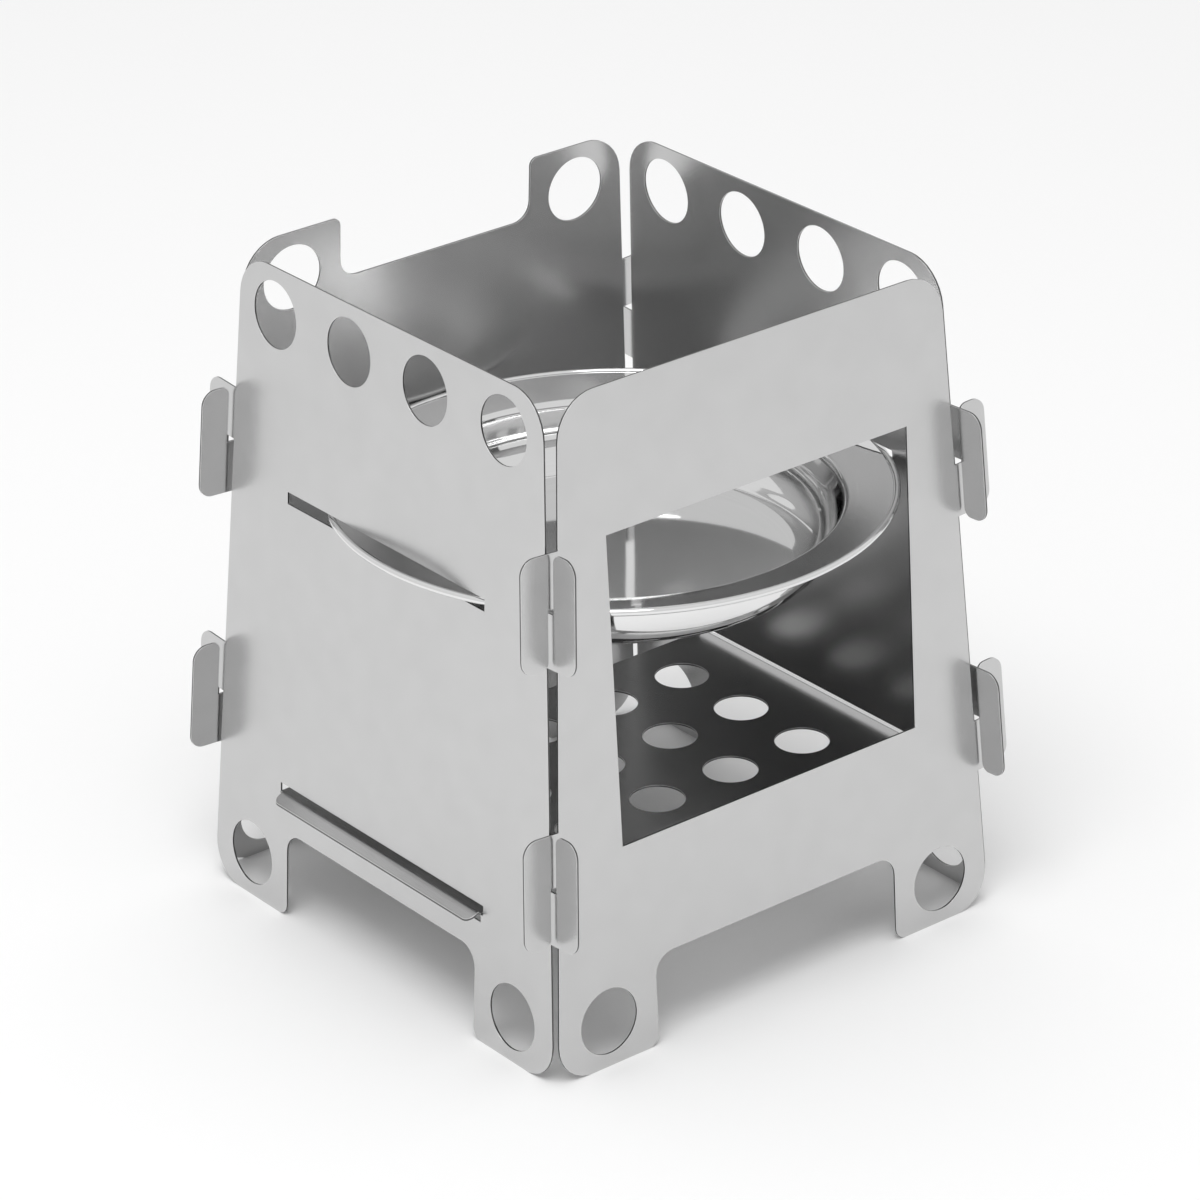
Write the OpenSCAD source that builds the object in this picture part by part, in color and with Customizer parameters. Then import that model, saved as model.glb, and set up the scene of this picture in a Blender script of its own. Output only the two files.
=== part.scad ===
// Pocket stove of four leaning sheet panels that hook together at their
// corners, with a loose floor grate and a loose round tray between them.
// The stove stands on z = 0 with its window facing -Y. Each panel is drawn
// flat, seen from outside, with its up direction along the slope of the wall.

/* [Stove] */
// Height of the standing stove
stove_h = 157; // [140:1:175]
// Distance between opposite walls at the floor
base_w = 128; // [124:0.5:134]
// Distance between opposite walls at the top edge
top_w = 110; // [106:0.5:112]
// Thickness of the panel sheet
sheet = 0.5; // [0.4:0.05:0.8]

/* [Panel outline] */
// Gap from the corner line of two walls to the side edge of each, at the floor
seam_low = 0.8; // [0.6:0.1:1.6]
// The same gap at the top edge
seam_high = 1.9; // [1.4:0.1:2.2]
// Radius of the two top corners
top_round = 10.2; // [6:0.2:11]
// Radius of the two outer bottom corners
foot_round = 9; // [6:0.5:11]
// Diameter of the round holes in feet, lugs and vent rows
hole_d = 15.6; // [12:0.2:15.6]

/* [Feet] */
// Width of a foot, from the corner line at the floor to the arch
foot_w = 29; // [27:0.5:32]
// Height of the arch
arch_h = 21.8; // [18:0.2:24]
// Radius of the arch's top corners
arch_round = 5; // [3:0.5:8]
// Radius of the inner bottom corner of a foot
toe_round = 3; // [1:0.5:4]
// Height of the foot hole centres
foot_hole_z = 10.9; // [10:0.1:12]
// Distance from the corner line at the floor to a foot hole centre
foot_hole_in = 15.4; // [14.5:0.1:17]

/* [Window] */
// Width of the front window
window_w = 84.6; // [76:0.2:90]
// Height of the window's lower edge
window_low = 51; // [44:0.5:60]
// Height of the window's upper edge
window_high = 123.6; // [112:0.2:130]

/* [Side vents] */
// Number of vent holes along the top of a side wall
vents = 4; // [2:1:4]
// Distance from the corner line at the top to the outer vents' centres
vent_in = 14.5; // [13.5:0.1:20]
// Distance from the top edge to the hole centres
vent_drop = 11; // [10:0.5:14]

/* [Back notch] */
// Width of a lug, from the corner line at the top to the notch
lug_w = 28; // [27:0.5:33]
// Depth of the notch
notch_h = 15; // [10:0.5:20]
// Radius of the notch's lower corners
notch_round = 4.5; // [2:0.5:6]
// Radius of the inner top corner of a lug
lug_round = 2; // [1:0.5:3]
// Distance from the corner line at the top to a lug hole centre
lug_hole_in = 14.6; // [13:0.2:18]

/* [Corner ears] */
// Reach of an ear past the corner line
ear_out = 8.2; // [7.5:0.1:10]
// Height of an ear
ear_h = 26.2; // [20:0.2:30]
// Height of the middle of the lower ears
low_ear_z = 47.2; // [42:0.2:52]
// Height of the middle of the upper ears
high_ear_z = 111; // [104:0.5:116]
// Radius of an ear's outer corners
ear_round = 3.5; // [2:0.5:4]
// Radius of the lead-in at a slit's mouth
mouth_round = 2; // [1:0.5:2.5]
// Distance from the corner line to the outer side of a slit
slit_half = 1; // [1:0.05:1.4]
// Distance that a slit runs past the middle of its ear
slit_over = 0.6; // [0.3:0.1:1.5]

/* [Tray] */
// Reach of the tray's rim past the middle of a side wall
tray_over = 6.1; // [4.3:0.1:6.3]
// Diameter of the rolled rim
rim_d = 1.6; // [1.2:0.1:1.8]
// Thickness of the tray's sheet
tray_sheet = 0.5; // [0.4:0.05:0.7]
// Depth from the middle of the rim to the underside of the floor
tray_depth = 17.8; // [16:0.2:20]
// Distance from the edge of the flat floor to the outside of the rim
tray_side_w = 24; // [22:0.2:26]
// Radius of the bend between floor and wall
floor_bend = 11; // [9:0.5:13]
// Radius of the bend between wall and flange
flange_bend = 1.8; // [1.2:0.1:3]
// Lean of the tray's wall from upright, in degrees
tray_wall_lean = 5; // [2:1:12]
// Slope of the flange outside the wall, in degrees
flange_slope = 11; // [6:1:14]
// Gap between the rim and the inside of the back wall
tray_back_gap = 0.25; // [0.2:0.05:0.6]
// Length of a tray slot in a side wall
tray_slot_w = 71; // [71:0.5:76]
// Height of a tray slot
tray_slot_h = 2.9; // [2.8:0.1:3.4]
// Height of the tray slots' lower edge
tray_slot_z = 102.85; // [94:0.05:106]
// Running clearance between the tray's flange and the slot under it
tray_clear = 0.2; // [0.1:0.05:0.3]

/* [Grate] */
// Length of a grate slot in a side wall, along the wall
grate_slot_w = 75; // [66:0.5:78]
// Height of a grate slot above its two seats
grate_slot_h = 2.4; // [2.2:0.1:3.5]
// Height of the seats that carry the grate
grate_seat_z = 31; // [26:0.5:36]
// Length of each seat
grate_seat_l = 0.8; // [0.6:0.1:3]
// Clearance between the grate and each slot end
grate_side_clear = 0.4; // [0.3:0.05:0.8]
// Height of the grate over its seats
grate_clear = 0.08; // [0.05:0.01:0.2]
// Thickness of the grate's sheet
grate_sheet = 0.5; // [0.4:0.05:0.8]
// Reach of the bent lip past the middle of the wall
lip_out = 3.5; // [3:0.1:5]
// Slope of the lip, in degrees
lip_slope = 25; // [15:1:35]
// Radius of the lip's end corners
lip_round = 2; // [1:0.5:3]
// Clearance under the lip while a wall swings past it
lip_clear = 0.5; // [0.4:0.05:0.8]
// Diameter of the grate holes
grate_hole_d = 12.8; // [9:0.2:15]
// Distance between grate hole centres
grate_pitch = 21.7; // [19:0.1:22]
// Number of hole columns from side wall to side wall
grate_columns = 5; // [3:2:5]
// Number of hole rows from front to back
grate_rows = 3; // [1:2:3]

/* [Hidden] */
$fn = 64;

// Lean of each wall, the length of its slope, and the angle at which the
// corner line crosses the drawn panel
inset = (base_w - top_w) / 2;
lean = atan(inset / stove_h);
panel_l = stove_h / cos(lean);
corner_turn = atan(inset / panel_l);
// Sheet that is cut away so that feet and top edges end level
trim = sheet * tan(lean);
// Length by which a cut runs past what it cuts
past = 1;
// Steps in a rounded corner of an outline
corner_steps = 8;
// Ear sheet that reaches back into the panel
ear_root = 3;

// Height above the floor turned into a length up the slope of a wall
function slope(z) = z / cos(lean);
// Distance from the stove's middle to the middle of a wall's sheet
function wall_at(z) = base_w / 2 - z * inset / stove_h;
// Gap beside the corner line, and half the width of a panel, up its slope
function seam_gap(v) = seam_low + (seam_high - seam_low) * v / panel_l;
function half_panel(v) = base_w / 2 - v * inset / panel_l - seam_gap(v) / cos(corner_turn);

// Places of feet, lugs and holes, counted from the middle of a panel
arch_w = base_w - 2 * foot_w;
foot_hole_x = base_w / 2 - foot_hole_in;
notch_w = top_w - 2 * lug_w;
lug_hole_x = top_w / 2 - lug_hole_in;
vent_pitch = (top_w - 2 * vent_in) / (vents - 1);

// Places of the ears along the corner line
low_ear_b = slope(low_ear_z) / cos(corner_turn);
high_ear_b = slope(high_ear_z) / cos(corner_turn);

// Corner i of an outline that runs anticlockwise, rounded to radius r by
// short straight steps. Slanted edges meet them exactly, as arcs would not.
function unit(v) = v / norm(v);
function back_way(p, i) = unit(p[(i + len(p) - 1) % len(p)] - p[i]);
function on_way(p, i) = unit(p[(i + 1) % len(p)] - p[i]);
function half_angle(p, i) = acos(back_way(p, i) * on_way(p, i)) / 2;
function arc_centre(p, i, r) =
    p[i] + unit(back_way(p, i) + on_way(p, i)) * r / sin(half_angle(p, i));
function turn_way(p, i) = sign(cross(-back_way(p, i), on_way(p, i)));
function turned(v, a) = [v[0] * cos(a) - v[1] * sin(a), v[0] * sin(a) + v[1] * cos(a)];
function corner(p, i, r) =
    r == 0 ? [p[i]] :
    let (centre = arc_centre(p, i, r),
         start = p[i] + back_way(p, i) * r / tan(half_angle(p, i)) - centre,
         sweep = turn_way(p, i) * (180 - 2 * half_angle(p, i)))
        [for (k = [0 : corner_steps])
            centre + turned(start, sweep * k / corner_steps)];

module rounded(points, radii) {
    polygon([for (i = [0 : len(points) - 1]) each corner(points, i, radii[i])]);
}

// Panel with feet and arch, and with a notch of the given size in its top
module panel_outline(top_notch_w, top_notch_h) {
    low = -trim;
    high = panel_l + trim;
    a = arch_w / 2;
    arch_top = slope(arch_h);
    n = top_notch_w / 2;
    feet = [[-half_panel(low), low], [-a, low], [-a, arch_top],
            [a, arch_top], [a, low], [half_panel(low), low]];
    feet_r = [foot_round, toe_round, arch_round, arch_round, toe_round, foot_round];
    notch = [[n, high], [n, slope(stove_h - top_notch_h)],
             [-n, slope(stove_h - top_notch_h)], [-n, high]];
    notch_r = [lug_round, notch_round, notch_round, lug_round];
    has_notch = top_notch_h > 0;
    rounded(
        [each feet, [half_panel(high), high], each (has_notch ? notch : []),
         [-half_panel(high), high]],
        [each feet_r, top_round, each (has_notch ? notch_r : []), top_round]);
}

// Ear in the corner line's own frame: x outwards, and y along the corner
// line from the ear's middle towards the open end of its slit
module ear_shape(prong) {
    closed_end = -ear_h / 2;
    open_end = ear_h / 2;
    slit_end = -slit_over;
    points = prong
        ? [[-ear_root, closed_end], [ear_out, closed_end], [ear_out, open_end],
           [slit_half, open_end], [slit_half, slit_end], [-ear_root, slit_end]]
        : [[-ear_root, closed_end], [ear_out, closed_end],
           [ear_out, slit_end], [-ear_root, slit_end]];
    radii = prong
        ? [0, ear_round, ear_round, mouth_round, 0, 0]
        : [0, ear_round, mouth_round, 0];
    rounded(points, radii);
}

// Both ears on one side of a panel: 1 is the right side seen from outside,
// where slits open upwards, and -1 the left, where they open downwards
module ears(side, prong = true) {
    translate([side * base_w / 2, 0])
        rotate(side * corner_turn)
            for (middle = [low_ear_b, high_ear_b])
                translate([0, middle])
                    rotate(side > 0 ? 0 : 180)
                        ear_shape(prong);
}

module hole_pair(x, z) {
    for (side = [-1, 1])
        translate([side * x, slope(z)]) circle(d = hole_d);
}

module slot(width, low, high) {
    translate([-width / 2, slope(low)])
        square([width, slope(high) - slope(low)]);
}

// Flat sheet raised into the front wall: leaned inwards, with its feet and
// its top edge cut level
module raise_front() {
    intersection() {
        translate([0, -base_w / 2, 0])
            rotate([90 - lean, 0, 0])
                linear_extrude(sheet, center = true) children();
        translate([-base_w, -base_w, 0]) cube([2 * base_w, 2 * base_w, stove_h]);
    }
}

// Flat sheet raised into the wall that lies a number of quarter turns
// anticlockwise from the front
module raise(quarter_turns) {
    rotate(90 * quarter_turns) raise_front() children();
}

// Side wall with a row of vents and the slots of the tray and the grate
module side_sheet(back_prongs) {
    deep = grate_seat_z - lip_drop - lip_clear;
    difference() {
        union() {
            panel_outline(0, 0);
            ears(-1);
            ears(1, back_prongs);
        }
        hole_pair(foot_hole_x, foot_hole_z);
        for (i = [0 : vents - 1])
            translate([(i - (vents - 1) / 2) * vent_pitch, slope(stove_h - vent_drop)])
                circle(d = hole_d);
        slot(tray_slot_w, tray_slot_z, tray_slot_z + tray_slot_h);
        slot(grate_slot_w, grate_seat_z, grate_seat_z + grate_slot_h);
        slot(grate_slot_w - 2 * grate_seat_l, deep, grate_seat_z + grate_slot_h);
    }
}

module front_panel() {
    color([0.78, 0.78, 0.78])
        raise(0)
            difference() {
                union() {
                    panel_outline(0, 0);
                    ears(-1);
                    ears(1);
                }
                hole_pair(foot_hole_x, foot_hole_z);
                slot(window_w, window_low, window_high);
            }
}

module left_panel() {
    color([0.78, 0.78, 0.78]) raise(3) side_sheet(true);
}

// The back corner next to the right wall is where the ring of walls opens,
// so the ears that meet there have no loose prongs
module right_panel() {
    color([0.78, 0.78, 0.78]) raise(1) side_sheet(false);
}

module back_panel() {
    color([0.78, 0.78, 0.78])
        raise(2)
            difference() {
                union() {
                    panel_outline(notch_w, notch_h);
                    ears(-1, false);
                    ears(1);
                }
                hole_pair(foot_hole_x, foot_hole_z);
                hole_pair(lug_hole_x, stove_h - vent_drop);
            }
}

// Grate: a flat strip that runs through both side walls, and outside each of
// them a narrower lip that is bent down
grate_z = grate_seat_z + grate_clear;
grate_wall = wall_at(grate_seat_z);
// Sheet that stays flat past the wall's outer face before the bend
flat_past = 0.4;
flat_half = grate_wall + sheet / 2 + flat_past;
grate_w = grate_slot_w - 2 * grate_side_clear;
lip_w = grate_slot_w - 2 * grate_seat_l - 2 * grate_side_clear;
lip_reach = grate_wall + lip_out - flat_half;
lip_drop = lip_reach * tan(lip_slope);

// Lip seen along the wall: a kinked strip of the sheet's own thickness
module lip_profile() {
    kink = grate_sheet * tan(lip_slope / 2);
    polygon([[0, grate_z], [flat_half - kink, grate_z],
             [flat_half + lip_reach, grate_z - lip_drop],
             [flat_half + lip_reach + kink, grate_z - lip_drop + grate_sheet],
             [flat_half, grate_z + grate_sheet], [0, grate_z + grate_sheet]]);
}

module lip(side) {
    end = flat_half + lip_reach;
    mirror([side > 0 ? 0 : 1, 0, 0])
        intersection() {
            rotate([90, 0, 0])
                linear_extrude(lip_w, center = true) lip_profile();
            translate([0, 0, grate_z - lip_drop - past])
                linear_extrude(lip_drop + grate_sheet + 2 * past)
                    rounded([[0, -lip_w / 2], [end, -lip_w / 2],
                             [end, lip_w / 2], [0, lip_w / 2]],
                            [0, lip_round, lip_round, 0]);
        }
}

module grate() {
    color([0.55, 0.55, 0.56])
        difference() {
            union() {
                translate([-flat_half, -grate_w / 2, grate_z])
                    cube([2 * flat_half, grate_w, grate_sheet]);
                lip(1);
                lip(-1);
            }
            for (i = [0 : grate_columns - 1])
                for (j = [0 : grate_rows - 1])
                    translate([(i - (grate_columns - 1) / 2) * grate_pitch,
                               (j - (grate_rows - 1) / 2) * grate_pitch,
                               grate_z - past])
                        cylinder(d = grate_hole_d, h = grate_sheet + 2 * past);
        }
}

// Tray: its section runs from the flat floor round a bend, up the wall,
// round a second bend onto the flange, and ends in the rolled rim. Lengths
// are from the stove's middle outwards and from the floor's underside up.
slot_wall = wall_at(tray_slot_z);
tray_r = slot_wall + tray_over;
tray_floor_r = tray_r - tray_side_w;
rim_mid_r = tray_r - rim_d / 2;
mid = tray_sheet / 2;
low_centre = [tray_floor_r, mid + floor_bend];
wall_way = [sin(tray_wall_lean), cos(tray_wall_lean)];
wall_out = [cos(tray_wall_lean), -sin(tray_wall_lean)];
flange_way = [cos(flange_slope), sin(flange_slope)];
flange_up = [-sin(flange_slope), cos(flange_slope)];
// With no straight wall at all, the flange's line would meet the rim here
both_bends = floor_bend + flange_bend;
bare_top = low_centre + both_bends * wall_out + flange_bend * flange_up;
bare_rim_z = bare_top[1] + (rim_mid_r - bare_top[0]) * tan(flange_slope);
tray_wall_l = (tray_depth - bare_rim_z) / (wall_way[1] - wall_way[0] * tan(flange_slope));
high_centre = low_centre + both_bends * wall_out + tray_wall_l * wall_way;

// Height of the tray: the flange's underside clears the slot's lower edge
// where the flange is lowest in the wall
flange_low = high_centre + (flange_bend - mid) * flange_up;
flange_in_slot = flange_low[1]
    + (slot_wall - sheet / 2 - flange_low[0]) * tan(flange_slope);
tray_z = tray_slot_z + sheet / 2 * tan(lean) + tray_clear - flange_in_slot;
rim_top_z = tray_z + tray_depth + rim_d / 2;
tray_y = wall_at(rim_top_z) - sheet / 2 - tray_back_gap - tray_r;

function bend_points(centre, r, from, to, steps = 6) =
    [for (i = [0 : steps]) let (a = from + (to - from) * i / steps)
        centre + r * [cos(a), sin(a)]];

module tray_section() {
    wall_turn = -tray_wall_lean;
    wall_back = 180 - tray_wall_lean;
    flange_back = 90 + flange_slope;
    polygon([
        [0, 0],
        each bend_points(low_centre, floor_bend + mid, -90, wall_turn),
        each bend_points(high_centre, flange_bend - mid, wall_back, flange_back),
        [rim_mid_r, tray_depth - mid / cos(flange_slope)],
        [rim_mid_r, tray_depth + mid / cos(flange_slope)],
        each bend_points(high_centre, flange_bend + mid, flange_back, wall_back),
        each bend_points(low_centre, floor_bend - mid, wall_turn, -90),
        [0, tray_sheet]]);
    translate([rim_mid_r, tray_depth]) circle(d = rim_d);
}

module tray() {
    color([0.86, 0.86, 0.88])
        translate([0, tray_y, tray_z])
            rotate_extrude($fn = 128) tray_section();
}

front_panel();
left_panel();
right_panel();
back_panel();
grate();
tray();
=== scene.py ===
"""Looks of the pocket stove: its walls, grate and tray, and the stage it stands on."""

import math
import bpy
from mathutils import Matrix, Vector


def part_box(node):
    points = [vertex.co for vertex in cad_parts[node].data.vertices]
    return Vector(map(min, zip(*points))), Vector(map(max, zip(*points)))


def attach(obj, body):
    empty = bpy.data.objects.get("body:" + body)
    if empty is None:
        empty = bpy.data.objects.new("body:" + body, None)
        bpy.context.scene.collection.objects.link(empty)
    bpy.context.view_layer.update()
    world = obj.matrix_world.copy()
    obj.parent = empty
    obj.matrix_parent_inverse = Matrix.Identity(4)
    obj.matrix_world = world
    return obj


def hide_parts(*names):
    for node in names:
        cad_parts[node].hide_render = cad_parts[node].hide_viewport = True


bl_info = {
    "name": "Pocket Stove",
    "version": (1, 0, 0),
    "blender": (4, 5, 0),
    "location": "View3D > Sidebar > Stove",
    "description": "Dresses the packed stove in satin and polished steel and sets its stage",
    "category": "Object",
}

import bmesh
import bpy
from mathutils import Matrix, Vector

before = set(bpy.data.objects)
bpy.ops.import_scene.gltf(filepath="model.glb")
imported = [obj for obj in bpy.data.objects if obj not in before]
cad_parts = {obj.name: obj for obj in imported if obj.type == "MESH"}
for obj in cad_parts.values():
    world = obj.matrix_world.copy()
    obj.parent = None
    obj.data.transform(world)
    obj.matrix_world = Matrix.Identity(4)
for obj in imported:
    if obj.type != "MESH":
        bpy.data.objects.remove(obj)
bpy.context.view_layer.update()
tray_low, tray_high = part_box("tray")

IMAGE_SIDE = 1200

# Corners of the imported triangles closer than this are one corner
MERGE_DISTANCE = 1e-6
# Faces that turn from the sheet by more than this are its cut edge
CUT_EDGE_TURN = math.radians(60)
# Edges sharper than this get a rounding or a crease in the shading
SHARP_ANGLE = math.radians(30)
# Flat triangles that differ by less than this are joined
FLAT_ANGLE = math.radians(0.3)

# Diameter of the tray's rolled rim
RIM_BEAD = 0.0016
# Steps in each curved stretch of the tray's section
FLOOR_BEND_STEPS = 12
FLANGE_BEND_STEPS = 10
BEAD_STEPS = 28

# Name of the node group that walls and grate share
GRAIN_GROUP = "Blasted Grain"
# Roughness of the cut edges and of the rounding along them
EDGE_ROUGHNESS = 0.3

# The key light: where it hangs, where it shines and how wide its disc is
KEY_PLACE = (-0.5, -0.35, 1.5)
KEY_TARGET = (0, 0, 0.06)
KEY_WIDTH = 0.9


# Shader helpers


def add_node(tree, kind, **inputs):
    """Adds a node and sets its inputs by name, linking those that are sockets."""
    node = tree.nodes.new(kind)
    for name, value in inputs.items():
        set_input(tree, node, name.replace("_", " "), value)
    return node


def set_input(tree, node, key, value):
    """Links or sets one input, which is found by its name or number."""
    socket = node.inputs[key]
    if isinstance(value, bpy.types.NodeSocket):
        tree.links.new(value, socket)
    else:
        socket.default_value = value


def new_material(name):
    """Empty node material, its output node and its tree."""
    material = bpy.data.materials.new(name)
    material.use_nodes = True
    tree = material.node_tree
    tree.nodes.clear()
    output = tree.nodes.new("ShaderNodeOutputMaterial")
    return material, tree, output


def map_range(tree, value, low, high):
    """Value from 0 to 1 turned into one from low to high."""
    node = add_node(tree, "ShaderNodeMapRange", Value=value, To_Min=low, To_Max=high)
    return node.outputs["Result"]


def math_node(tree, operation, first, second):
    node = tree.nodes.new("ShaderNodeMath")
    node.operation = operation
    set_input(tree, node, 0, first)
    set_input(tree, node, 1, second)
    return node.outputs["Value"]


def vector_math(tree, operation, first):
    """Vector Math node with its first input linked."""
    node = tree.nodes.new("ShaderNodeVectorMath")
    node.operation = operation
    set_input(tree, node, 0, first)
    return node


def noise(tree, vector, scale, detail, roughness):
    node = add_node(
        tree,
        "ShaderNodeTexNoise",
        Vector=vector,
        Scale=scale,
        Detail=detail,
        Roughness=roughness,
    )
    return node.outputs["Fac"]


def object_vector(tree, centre=(0, 0, 0), stretch=(1, 1, 1)):
    """Object coordinates counted from a centre and stretched along the axes."""
    coordinates = tree.nodes.new("ShaderNodeTexCoord").outputs["Object"]
    mapping = tree.nodes.new("ShaderNodeMapping")
    mapping.vector_type = "POINT"
    mapping.inputs["Location"].default_value = [-c * s for c, s in zip(centre, stretch)]
    mapping.inputs["Scale"].default_value = stretch
    tree.links.new(coordinates, mapping.inputs["Vector"])
    return mapping.outputs["Vector"]


def blasted_grain_group():
    """Node group for bead-blasted steel, built once: a fine grain and soft cloudy patches."""
    group = bpy.data.node_groups.get(GRAIN_GROUP)
    if group is not None:
        return group
    group = bpy.data.node_groups.new(GRAIN_GROUP, "ShaderNodeTree")
    for name, kind in (
        ("Vector", "NodeSocketVector"),
        ("Grain Scale", "NodeSocketFloat"),
        ("Patch Scale", "NodeSocketFloat"),
    ):
        group.interface.new_socket(name, in_out="INPUT", socket_type=kind)
    for name in ("Grain", "Patches"):
        group.interface.new_socket(name, in_out="OUTPUT", socket_type="NodeSocketFloat")
    inputs = group.nodes.new("NodeGroupInput").outputs
    outputs = group.nodes.new("NodeGroupOutput").inputs
    vector = inputs["Vector"]
    grain = noise(group, vector, inputs["Grain Scale"], detail=3.0, roughness=0.6)
    patches = noise(group, vector, inputs["Patch Scale"], detail=4.0, roughness=0.55)
    group.links.new(grain, outputs["Grain"])
    group.links.new(patches, outputs["Patches"])
    return group


def place_grain(tree, vector, grain_scale, patch_scale):
    """The shared grain group, placed with scales of its own."""
    node = tree.nodes.new("ShaderNodeGroup")
    node.node_tree = blasted_grain_group()
    set_input(tree, node, "Vector", vector)
    set_input(tree, node, "Grain Scale", grain_scale)
    set_input(tree, node, "Patch Scale", patch_scale)
    return node.outputs["Grain"], node.outputs["Patches"]


def grey_between(tree, value, dark, light, colour):
    """Colour that runs from a darker to a lighter shade of the given one."""
    mix = tree.nodes.new("ShaderNodeMix")
    mix.data_type = "RGBA"
    tree.links.new(value, mix.inputs["Factor"])
    mix.inputs["A"].default_value = [*[dark * c for c in colour], 1]
    mix.inputs["B"].default_value = [*[light * c for c in colour], 1]
    return mix.outputs["Result"]


def add_bump(tree, height, distance, strength):
    node = add_node(
        tree, "ShaderNodeBump", Height=height, Distance=distance, Strength=strength
    )
    return node.outputs["Normal"]


def metal_shader(tree, output, colour, roughness, normal):
    shader = tree.nodes.new("ShaderNodeBsdfPrincipled")
    shader.inputs["Metallic"].default_value = 1.0
    set_input(tree, shader, "Base Color", colour)
    set_input(tree, shader, "Roughness", roughness)
    set_input(tree, shader, "Normal", normal)
    tree.links.new(shader.outputs["BSDF"], output.inputs["Surface"])


# Materials


def satin_steel(name, colour, roughness):
    """Bead-blasted stainless sheet with a fine grain and faint cloudy patches."""
    roughness_spread = 0.03
    patch_share = 0.6
    material, tree, output = new_material(name)
    vector = object_vector(tree)
    grain, patches = place_grain(tree, vector, grain_scale=2600.0, patch_scale=130.0)
    mottle = math_node(
        tree,
        "ADD",
        math_node(tree, "MULTIPLY", patches, patch_share),
        math_node(tree, "MULTIPLY", grain, 1 - patch_share),
    )
    shade = grey_between(tree, mottle, dark=0.91, light=1.09, colour=colour)
    uneven = map_range(tree, mottle, roughness - roughness_spread, roughness + roughness_spread)
    normal = add_bump(tree, grain, distance=0.00001, strength=0.12)
    metal_shader(tree, output, shade, uneven, normal)
    return material


def laser_cut_steel(name, colour, roughness):
    """Cut edge of the sheet, left finely uneven by the laser."""
    roughness_spread = 0.06
    material, tree, output = new_material(name)
    vector = object_vector(tree, stretch=(1.0, 1.0, 0.9))
    ripples = noise(tree, vector, scale=3200.0, detail=2.0, roughness=0.5)
    shade = grey_between(tree, ripples, dark=0.85, light=1.1, colour=colour)
    uneven = map_range(tree, ripples, roughness - roughness_spread, roughness + roughness_spread)
    normal = add_bump(tree, ripples, distance=0.00003, strength=0.5)
    metal_shader(tree, output, shade, uneven, normal)
    return material


def worn_and_painted_highlight_edge_steel(name, colour, roughness):
    """Rounding along the cut edges, rubbed brighter and smoother in patches by handling; its
    colour, lighter than the sheet's, is a painted highlight where the edges catch light.
    """
    left_rougher = 0.1
    rubbed_smoother = 0.05
    material, tree, output = new_material(name)
    rubbed = noise(tree, object_vector(tree), scale=220.0, detail=3.0, roughness=0.6)
    # The rounding's lighter colour is a painted edge highlight; the patches in it are rubbed
    # wear.
    shade = grey_between(tree, rubbed, dark=0.8, light=1.2, colour=colour)
    uneven = map_range(tree, rubbed, roughness + left_rougher, roughness - rubbed_smoother)
    normal = add_bump(tree, rubbed, distance=0.00002, strength=0.2)
    metal_shader(tree, output, shade, uneven, normal)
    return material


def sheet_materials(part, colour, look):
    """Steels of one kind of sheet: its faces, its cut edges and their rounding, which is worn and
    carries a painted edge highlight.
    """
    return (
        satin_steel(part + "_satin_steel", colour, look.steel_roughness),
        laser_cut_steel(part + "_cut_edge", look.edge_colour, EDGE_ROUGHNESS),
        worn_and_painted_highlight_edge_steel(part + "_worn_painted_highlight_edge", look.worn_and_painted_highlight_colour, EDGE_ROUGHNESS),
    )


def polished_steel(name, colour, roughness, centre):
    """Mirror-polished pressing, slightly wavy, with faint rings from the polishing wheel."""
    smoothest = 0.6
    roughest = 1.5
    material, tree, output = new_material(name)
    vector = object_vector(tree, centre)
    level = vector_math(tree, "MULTIPLY", vector)
    level.inputs[1].default_value = (1, 1, 0)
    radius = vector_math(tree, "LENGTH", level.outputs["Vector"])
    ring_noise = tree.nodes.new("ShaderNodeTexNoise")
    ring_noise.noise_dimensions = "1D"
    ring_noise.inputs["Scale"].default_value = 1800.0
    ring_noise.inputs["Detail"].default_value = 3.0
    tree.links.new(radius.outputs["Value"], ring_noise.inputs["W"])
    rings = ring_noise.outputs["Fac"]
    waves = noise(tree, vector, scale=38.0, detail=1.0, roughness=0.4)
    shade = grey_between(tree, rings, dark=0.97, light=1.02, colour=colour)
    uneven = map_range(tree, rings, roughness * smoothest, roughness * roughest)
    normal = add_bump(tree, waves, distance=0.00025, strength=0.12)
    metal_shader(tree, output, shade, uneven, normal)
    return material


def paper_floor(name, colour):
    """Matt pale paper that keeps the stove's shadow."""
    material, tree, output = new_material(name)
    shader = tree.nodes.new("ShaderNodeBsdfPrincipled")
    shader.inputs["Base Color"].default_value = [*colour, 1]
    shader.inputs["Roughness"].default_value = 0.9
    shader.inputs["Specular IOR Level"].default_value = 0.1
    tree.links.new(shader.outputs["BSDF"], output.inputs["Surface"])
    return material


# Meshes


def new_piece(name, bm, materials):
    """Object at the origin that holds a finished bmesh."""
    mesh = bpy.data.meshes.new(name)
    bm.to_mesh(mesh)
    bm.free()
    for material in materials:
        mesh.materials.append(material)
    piece = bpy.data.objects.new(name, mesh)
    bpy.context.scene.collection.objects.link(piece)
    return piece


def largest_face_normal(bm):
    return max(bm.faces, key=lambda face: face.calc_area()).normal.copy()


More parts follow.
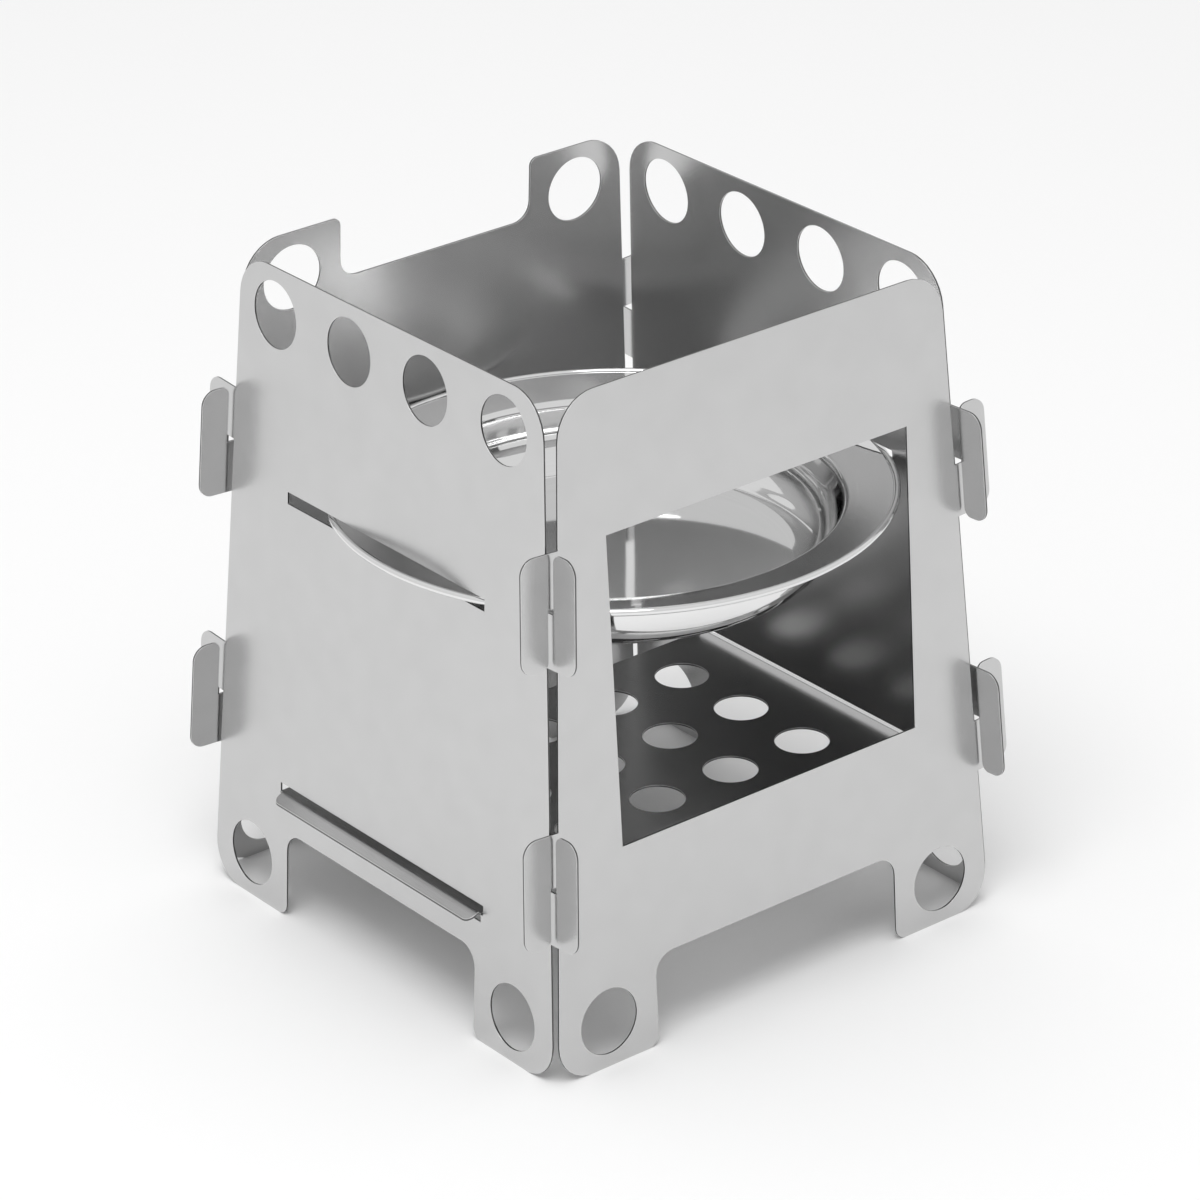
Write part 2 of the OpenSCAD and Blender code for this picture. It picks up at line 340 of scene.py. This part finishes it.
def sheet_copy(node, name, materials, edge_round):
    """Copy of a sheet's CAD node with its cut edges marked and slightly rounded.

    The materials are those of its faces, its cut edges and their rounding.
    """
    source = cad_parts[node].data.copy()
    if "custom_normal" in source.attributes:
        source.attributes.remove(source.attributes["custom_normal"])
    bm = bmesh.new()
    bm.from_mesh(source)
    bpy.data.meshes.remove(source)
    bmesh.ops.remove_doubles(bm, verts=bm.verts, dist=MERGE_DISTANCE)
    bmesh.ops.dissolve_limit(
        bm, angle_limit=FLAT_ANGLE, verts=bm.verts, edges=bm.edges
    )
    across = largest_face_normal(bm)
    limit = math.cos(CUT_EDGE_TURN)
    for face in bm.faces:
        face.material_index = 0 if abs(face.normal.dot(across)) > limit else 1
        face.smooth = True
    piece = new_piece(name, bm, materials)
    bevel = piece.modifiers.new("Edge rounding", "BEVEL")
    bevel.width = edge_round
    # The rounding takes the last material: worn edge with a painted highlight.
    bevel.material = len(materials) - 1
    bevel.segments = 2
    bevel.limit_method = "ANGLE"
    bevel.angle_limit = SHARP_ANGLE
    bevel.use_clamp_overlap = False
    bevel.harden_normals = True
    return piece


def arc(centre, radius, start, end, steps):
    """Points of an arc in the tray's section, with angles in degrees."""
    points = []
    for step in range(steps + 1):
        angle = math.radians(start + (end - start) * step / steps)
        points.append((centre.x + radius * math.cos(angle), centre.y + radius * math.sin(angle)))
    return points


def tray_section(sizes):
    """Outline of the tray's section, from the axis under the floor to the axis above it."""
    half = sizes.sheet / 2
    bead = sizes.rim_bead / 2
    floor_bend = sizes.floor_bend
    flange_bend = sizes.flange_bend
    floor_radius = sizes.rim_radius - sizes.side_width
    # Ways along the section: out of the wall, up the wall and off the flange
    out = Vector((math.cos(sizes.wall_lean), -math.sin(sizes.wall_lean)))
    up = Vector((math.sin(sizes.wall_lean), math.cos(sizes.wall_lean)))
    lift = Vector((-math.sin(sizes.flange_slope), math.cos(sizes.flange_slope)))
    # Middles of the floor's bend and of the rim's bead
    low = Vector((floor_radius, half + floor_bend))
    rim = Vector((sizes.rim_radius - bead, sizes.depth))
    # The wall is as long as it takes for the flange's slope to end at the bead
    tangent = math.tan(sizes.flange_slope)
    bare = low + (floor_bend + flange_bend) * out + flange_bend * lift
    bare_rim_z = bare.y + (rim.x - bare.x) * tangent
    wall = (sizes.depth - bare_rim_z) / (up.y - up.x * tangent)
    # Middle of the flange's bend
    high = low + (floor_bend + flange_bend) * out + wall * up
    # Directions from these middles, in degrees
    slope = math.degrees(sizes.flange_slope)
    wall_turn = -math.degrees(sizes.wall_lean)
    wall_back = 180 - math.degrees(sizes.wall_lean)
    flange_back = 90 + slope
    gap = math.degrees(math.asin(half / bead))
    return [
        (0.0, 0.0),
        (floor_radius / 2, 0.0),
        *arc(low, floor_bend + half, -90, wall_turn, FLOOR_BEND_STEPS),
        *arc(high, flange_bend - half, wall_back, flange_back, FLANGE_BEND_STEPS),
        *arc(rim, bead, 180 + slope + gap, 180 + 360 + slope - gap, BEAD_STEPS),
        *arc(high, flange_bend + half, flange_back, wall_back, FLANGE_BEND_STEPS),
        *arc(low, floor_bend - half, wall_turn, -90, FLOOR_BEND_STEPS),
        (floor_radius / 2, sizes.sheet),
        (0.0, sizes.sheet),
    ]


def spun_piece(name, section, centre, steps, materials):
    """Closed piece turned from a section about the upright line through centre."""
    bm = bmesh.new()
    verts = [bm.verts.new((radius, 0.0, height)) for radius, height in section]
    edges = [bm.edges.new(pair) for pair in zip(verts, verts[1:])]
    bmesh.ops.spin(
        bm,
        geom=verts + edges,
        cent=(0, 0, 0),
        axis=(0, 0, 1),
        angle=math.tau,
        steps=steps,
        use_merge=True,
    )
    bmesh.ops.remove_doubles(bm, verts=bm.verts, dist=MERGE_DISTANCE)
    bmesh.ops.recalc_face_normals(bm, faces=bm.faces)
    bmesh.ops.translate(bm, verts=bm.verts, vec=centre)
    for face in bm.faces:
        face.smooth = True
    piece = new_piece(name, bm, materials)
    piece.data.set_sharp_from_angle(angle=SHARP_ANGLE)
    return piece


# Sizes and colours that a user would change


class StoveSteelSettings(bpy.types.PropertyGroup):
    steel_colour: bpy.props.FloatVectorProperty(
        name="Steel",
        description="Reflected colour of the bead-blasted sheet",
        subtype="COLOR",
        size=3,
        min=0.0,
        max=1.0,
        default=(0.58, 0.58, 0.58),
    )
    steel_roughness: bpy.props.FloatProperty(
        name="Steel roughness",
        description="How far the blasted finish blurs what it mirrors",
        subtype="FACTOR",
        min=0.0,
        max=1.0,
        default=0.26,
    )
    # Darker than the walls' steel: painted shade of the stove's inside, which the tray's lower
    # bend also mirrors.
    grate_colour_with_painted_shade: bpy.props.FloatVectorProperty(
        name="Grate",
        description="Reflected colour of the grate's sheet",
        subtype="COLOR",
        size=3,
        min=0.0,
        max=1.0,
        default=(0.50, 0.50, 0.50),
    )
    edge_colour: bpy.props.FloatVectorProperty(
        name="Cut edge",
        description="Reflected colour of the laser-cut edges",
        subtype="COLOR",
        size=3,
        min=0.0,
        max=1.0,
        default=(0.12, 0.12, 0.12),
    )
    # Lighter than the sheet: worn edges together with a painted highlight where the edges catch
    # light.
    worn_and_painted_highlight_colour: bpy.props.FloatVectorProperty(
        name="Worn edge and painted highlight",
        description="Reflected colour of the rounding along the edges",
        subtype="COLOR",
        size=3,
        min=0.0,
        max=1.0,
        default=(0.74, 0.74, 0.74),
    )
    edge_round: bpy.props.FloatProperty(
        name="Edge rounding",
        description="Width of the rounding that tumbling leaves on the cut edges",
        subtype="DISTANCE",
        unit="LENGTH",
        precision=5,
        default=0.00006,
    )


class StoveTraySettings(bpy.types.PropertyGroup):
    colour: bpy.props.FloatVectorProperty(
        name="Polish",
        description="Reflected colour of the polished tray",
        subtype="COLOR",
        size=3,
        min=0.0,
        max=1.0,
        default=(0.80, 0.80, 0.80),
    )
    roughness: bpy.props.FloatProperty(
        name="Polish roughness",
        description="How far the polish blurs what it mirrors",
        subtype="FACTOR",
        min=0.0,
        max=1.0,
        default=0.05,
    )
    rim_radius: bpy.props.FloatProperty(
        name="Rim radius",
        description="Outer radius of the rolled rim",
        subtype="DISTANCE",
        unit="LENGTH",
        precision=4,
        default=(tray_high.x - tray_low.x) / 2,
    )
    rim_bead: bpy.props.FloatProperty(
        name="Rim bead",
        description="Diameter of the rolled rim",
        subtype="DISTANCE",
        unit="LENGTH",
        precision=4,
        default=RIM_BEAD,
    )
    sheet: bpy.props.FloatProperty(
        name="Sheet",
        description="Thickness of the tray's sheet",
        subtype="DISTANCE",
        unit="LENGTH",
        precision=4,
        default=0.0005,
    )
    depth: bpy.props.FloatProperty(
        name="Depth",
        description="From the underside of the floor to the middle of the rim",
        subtype="DISTANCE",
        unit="LENGTH",
        precision=4,
        default=tray_high.z - tray_low.z - RIM_BEAD / 2,
    )
    side_width: bpy.props.FloatProperty(
        name="Side width",
        description="From the edge of the flat floor to the outside of the rim",
        subtype="DISTANCE",
        unit="LENGTH",
        precision=4,
        default=0.024,
    )
    floor_bend: bpy.props.FloatProperty(
        name="Floor bend",
        description="Radius of the bend between floor and wall",
        subtype="DISTANCE",
        unit="LENGTH",
        precision=4,
        default=0.011,
    )
    flange_bend: bpy.props.FloatProperty(
        name="Flange bend",
        description="Radius of the bend between wall and flange",
        subtype="DISTANCE",
        unit="LENGTH",
        precision=4,
        default=0.0018,
    )
    wall_lean: bpy.props.FloatProperty(
        name="Wall lean",
        description="Lean of the tray's wall from upright",
        subtype="ANGLE",
        unit="ROTATION",
        default=math.radians(5),
    )
    flange_slope: bpy.props.FloatProperty(
        name="Flange slope",
        description="Rise of the flange towards the rim",
        subtype="ANGLE",
        unit="ROTATION",
        default=math.radians(11),
    )
    steps: bpy.props.IntProperty(
        name="Steps round",
        description="Faces round the tray",
        min=24,
        default=256,
    )


class StoveStageSettings(bpy.types.PropertyGroup):
    azimuth: bpy.props.FloatProperty(
        name="Camera azimuth",
        description="Turn of the camera about the stove, 0 in front of the window",
        subtype="ANGLE",
        unit="ROTATION",
        default=math.radians(-38.612),
    )
    elevation: bpy.props.FloatProperty(
        name="Camera elevation",
        description="Height of the camera above the horizon, as an angle",
        subtype="ANGLE",
        unit="ROTATION",
        default=math.radians(26.783),
    )
    roll: bpy.props.FloatProperty(
        name="Camera roll",
        description="Turn of the camera about its line of sight",
        subtype="ANGLE",
        unit="ROTATION",
        default=math.radians(-0.920),
    )
    distance: bpy.props.FloatProperty(
        name="Camera distance",
        description="From the camera to the point it looks at",
        subtype="DISTANCE",
        unit="LENGTH",
        default=1.16387,
    )
    target_height: bpy.props.FloatProperty(
        name="Target height",
        description="Height of the point the camera looks at",
        subtype="DISTANCE",
        unit="LENGTH",
        precision=4,
        default=0.0613,
    )
    focal_pixels: bpy.props.FloatProperty(
        name="Focal length",
        description="Focal length in pixels of the square photograph",
        default=5128.8,
    )
    shift_pixels: bpy.props.FloatVectorProperty(
        name="Shift",
        description="How far the picture's centre lies right of and above the line of sight",
        size=2,
        default=(4.655, 48.694),
    )
    floor_colour: bpy.props.FloatVectorProperty(
        name="Floor",
        description="Colour of the paper floor",
        subtype="COLOR",
        size=3,
        min=0.0,
        max=1.0,
        default=(0.94, 0.94, 0.94),
    )
    floor_radius: bpy.props.FloatProperty(
        name="Floor radius",
        description="Radius of the paper floor",
        subtype="DISTANCE",
        unit="LENGTH",
        default=8.0,
    )
    world_level: bpy.props.FloatProperty(
        name="Surround light",
        description="Level of the even light from all round",
        min=0.0,
        default=0.8,
    )
    mirror_level: bpy.props.FloatProperty(
        name="Mirrored surround",
        description="Level of the surround as the metal mirrors it",
        min=0.0,
        max=1.0,
        default=0.8,
    )
    key_power: bpy.props.FloatProperty(
        name="Key light",
        description="Power of the large soft lamp above the stove",
        subtype="POWER",
        unit="POWER",
        default=9.0,
    )


# Operators


class OBJECT_OT_stove_walls(bpy.types.Operator):
    """Dress the four walls in satin steel with laser-cut edges"""

    bl_idname = "object.stove_walls"
    bl_label = "Walls"

    def execute(self, context):
        look = context.scene.stove_steel
        materials = sheet_materials("wall", look.steel_colour, look)
        for side in ("front", "left", "right", "back"):
            node = side + "_panel"
            piece = sheet_copy(node, side + "_wall", materials, look.edge_round)
            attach(piece, side)
            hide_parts(node)
        return {"FINISHED"}


class OBJECT_OT_stove_grate(bpy.types.Operator):
    """Dress the punched floor grate"""

    bl_idname = "object.stove_grate"
    bl_label = "Grate"

    def execute(self, context):
        look = context.scene.stove_steel
        # The grate's darker colour is painted shade of the stove's inside.
        materials = sheet_materials("grate", look.grate_colour_with_painted_shade, look)
        piece = sheet_copy("grate", "floor_grate", materials, look.edge_round)
        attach(piece, "grate")
        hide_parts("grate")
        return {"FINISHED"}


class OBJECT_OT_stove_tray(bpy.types.Operator):
    """Turn the polished tray from its section"""

    bl_idname = "object.stove_tray"
    bl_label = "Tray"

    def execute(self, context):
        sizes = context.scene.stove_tray
        centre = (tray_low + tray_high) / 2
        centre.z = tray_low.z
        polish = polished_steel("tray_polished_steel", sizes.colour, sizes.roughness, centre)
        piece = spun_piece("tray_pressing", tray_section(sizes), centre, sizes.steps, (polish,))
        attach(piece, "tray")
        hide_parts("tray")
        return {"FINISHED"}


class SCENE_OT_stove_stage(bpy.types.Operator):
    """Lay the paper floor, set the soft light and aim the camera"""

    bl_idname = "scene.stove_stage"
    bl_label = "Stage"

    def execute(self, context):
        stage = context.scene.stove_stage
        lay_floor(stage)
        light_world(stage)
        hang_key_light(stage)
        aim_camera(stage)
        context.scene.view_settings.view_transform = "Standard"
        return {"FINISHED"}


def lay_floor(stage):
    bm = bmesh.new()
    bmesh.ops.create_circle(bm, cap_ends=True, segments=96, radius=stage.floor_radius)
    floor = new_piece("paper_floor", bm, (paper_floor("pale_paper", stage.floor_colour),))


def light_world(stage):
    """Even surround that is white to the camera and has a level of its own in the metal."""
    world = bpy.data.worlds.new("White surround")
    bpy.context.scene.world = world
    world.use_nodes = True
    tree = world.node_tree
    tree.nodes.clear()
    output = tree.nodes.new("ShaderNodeOutputWorld")
    background = tree.nodes.new("ShaderNodeBackground")
    background.inputs["Color"].default_value = (1, 1, 1, 1)
    path = tree.nodes.new("ShaderNodeLightPath")
    unseen = map_range(tree, path.outputs["Is Glossy Ray"], stage.world_level, stage.mirror_level)
    level = map_range(tree, path.outputs["Is Camera Ray"], unseen, 1.0)
    tree.links.new(level, background.inputs["Strength"])
    tree.links.new(background.outputs["Background"], output.inputs["Surface"])


def hang_key_light(stage):
    lamp = bpy.data.lights.new("key_light", "AREA")
    lamp.shape = "DISK"
    lamp.size = KEY_WIDTH
    lamp.energy = stage.key_power
    holder = bpy.data.objects.new("key_light", lamp)
    holder.location = KEY_PLACE
    aim = Vector(KEY_TARGET) - holder.location
    holder.rotation_euler = aim.to_track_quat("-Z", "Y").to_euler()
    bpy.context.scene.collection.objects.link(holder)


def aim_camera(stage):
    """Camera of the photograph, turned about the target on the stove's upright axis."""
    azimuth = stage.azimuth
    elevation = stage.elevation
    roll = stage.roll
    back = Vector(
        (
            math.sin(azimuth) * math.cos(elevation),
            -math.cos(azimuth) * math.cos(elevation),
            math.sin(elevation),
        )
    )
    level_right = (-back).cross(Vector((0, 0, 1))).normalized()
    level_up = level_right.cross(-back)
    right = level_right * math.cos(roll) + level_up * math.sin(roll)
    up = level_up * math.cos(roll) - level_right * math.sin(roll)
    turn = Matrix((right, up, back)).transposed().to_4x4()
    place = Matrix.Translation(Vector((0, 0, stage.target_height)) + back * stage.distance)
    data = bpy.data.cameras.new("photo_camera")
    data.sensor_width = 36.0
    data.lens = data.sensor_width * stage.focal_pixels / IMAGE_SIDE
    data.shift_x = stage.shift_pixels[0] / IMAGE_SIDE
    data.shift_y = stage.shift_pixels[1] / IMAGE_SIDE
    data.clip_start = 0.05
    data.clip_end = 50.0
    camera = bpy.data.objects.new("photo_camera", data)
    camera.matrix_world = place @ turn
    bpy.context.scene.collection.objects.link(camera)
    bpy.context.scene.camera = camera


class VIEW3D_PT_stove(bpy.types.Panel):
    """Sidebar panel with the stove's settings and steps"""

    bl_label = "Pocket Stove"
    bl_idname = "VIEW3D_PT_stove"
    bl_space_type = "VIEW_3D"
    bl_region_type = "UI"
    bl_category = "Stove"

    def draw(self, context):
        column = self.layout.column()
        for group in ("stove_steel", "stove_tray", "stove_stage"):
            settings = getattr(context.scene, group)
            box = column.box()
            for name in settings.__annotations__:
                box.prop(settings, name)
        for operator in STEPS:
            column.operator(operator.bl_idname)


STEPS = (
    SCENE_OT_stove_stage,
    OBJECT_OT_stove_walls,
    OBJECT_OT_stove_grate,
    OBJECT_OT_stove_tray,
)
SETTINGS = {
    "stove_steel": StoveSteelSettings,
    "stove_tray": StoveTraySettings,
    "stove_stage": StoveStageSettings,
}


def register():
    for name, group in SETTINGS.items():
        bpy.utils.register_class(group)
        setattr(bpy.types.Scene, name, bpy.props.PointerProperty(type=group))
    for operator in STEPS:
        bpy.utils.register_class(operator)
    bpy.utils.register_class(VIEW3D_PT_stove)


def unregister():
    bpy.utils.unregister_class(VIEW3D_PT_stove)
    for operator in reversed(STEPS):
        bpy.utils.unregister_class(operator)
    for name, group in SETTINGS.items():
        delattr(bpy.types.Scene, name)
        bpy.utils.unregister_class(group)


def main():
    register()
    bpy.ops.scene.stove_stage()
    bpy.ops.object.stove_walls()
    bpy.ops.object.stove_grate()
    bpy.ops.object.stove_tray()
    bpy.context.view_layer.update()


if __name__ == "__main__":
    main()
